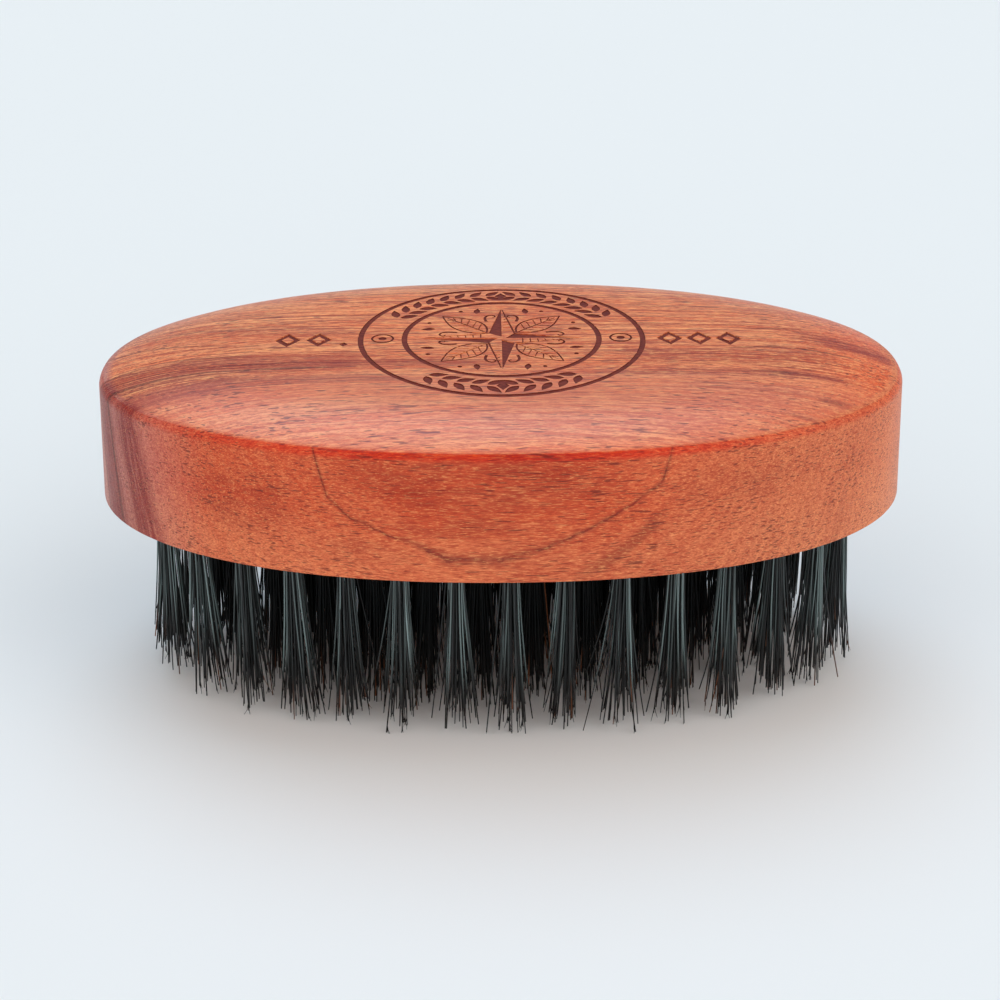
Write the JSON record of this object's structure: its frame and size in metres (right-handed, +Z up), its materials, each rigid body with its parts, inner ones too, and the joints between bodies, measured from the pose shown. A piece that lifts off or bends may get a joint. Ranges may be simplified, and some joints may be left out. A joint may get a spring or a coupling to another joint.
{
  "type": "beard brush",
  "caption": "Palm-sized oval beard brush: a reddish hardwood block, gently crowned and engraved on top, with rows of dark natural bristle tufts set into its underside.",
  "frame": {"origin": "on the plane that the bristle tips stand on, under the middle of the block", "axes": "+X along the block's length, +Y across it, +Z up from the tips to the wooden back"},
  "size_m": [0.11, 0.0612, 0.0479],
  "materials": {
    "oiled_wood": "reddish-orange hardwood with darker straight grain, oiled and rubbed to a satin sheen",
    "bristle": "black natural bristle with a soft cool sheen and a few brown hairs and tips"
  },
  "bodies": {
    "root": {"wood_block": "oiled_wood", "tuft_outer_01": "bristle", "tuft_outer_02": "bristle", "tuft_outer_03": "bristle", "tuft_outer_04": "bristle", "tuft_outer_05": "bristle", "tuft_outer_06": "bristle", "tuft_outer_07": "bristle", "tuft_outer_08": "bristle", "tuft_outer_09": "bristle", "tuft_outer_10": "bristle", "tuft_outer_11": "bristle", "tuft_outer_12": "bristle", "tuft_outer_13": "bristle", "tuft_outer_14": "bristle", "tuft_outer_15": "bristle", "tuft_outer_16": "bristle", "tuft_outer_17": "bristle", "tuft_outer_18": "bristle", "tuft_outer_19": "bristle", "tuft_outer_20": "bristle", "tuft_outer_21": "bristle", "tuft_outer_22": "bristle", "tuft_outer_23": "bristle", "tuft_outer_24": "bristle", "tuft_outer_25": "bristle", "tuft_outer_26": "bristle", "tuft_outer_27": "bristle", "tuft_outer_28": "bristle", "tuft_outer_29": "bristle", "tuft_outer_30": "bristle", "tuft_outer_31": "bristle", "tuft_pair_middle_01": "bristle", "tuft_pair_middle_02": "bristle", "tuft_pair_middle_03": "bristle", "tuft_pair_middle_04": "bristle", "tuft_pair_middle_05": "bristle", "tuft_pair_middle_06": "bristle", "tuft_pair_middle_07": "bristle", "tuft_pair_middle_08": "bristle", "tuft_pair_middle_09": "bristle", "tuft_pair_middle_10": "bristle", "tuft_pair_middle_11": "bristle", "tuft_pair_middle_12": "bristle", "tuft_pair_middle_13": "bristle", "tuft_pair_inner_01": "bristle", "tuft_pair_inner_02": "bristle", "tuft_pair_inner_03": "bristle", "tuft_pair_inner_04": "bristle", "tuft_pair_inner_05": "bristle", "tuft_pair_inner_06": "bristle", "tuft_pair_inner_07": "bristle", "tuft_pair_inner_08": "bristle", "tuft_pair_inner_09": "bristle", "tuft_pair_centre_left": "bristle", "tuft_centre_left": "bristle", "tuft_centre": "bristle", "tuft_centre_right": "bristle", "tuft_pair_centre_right": "bristle"}
  },
  "joints": []
}
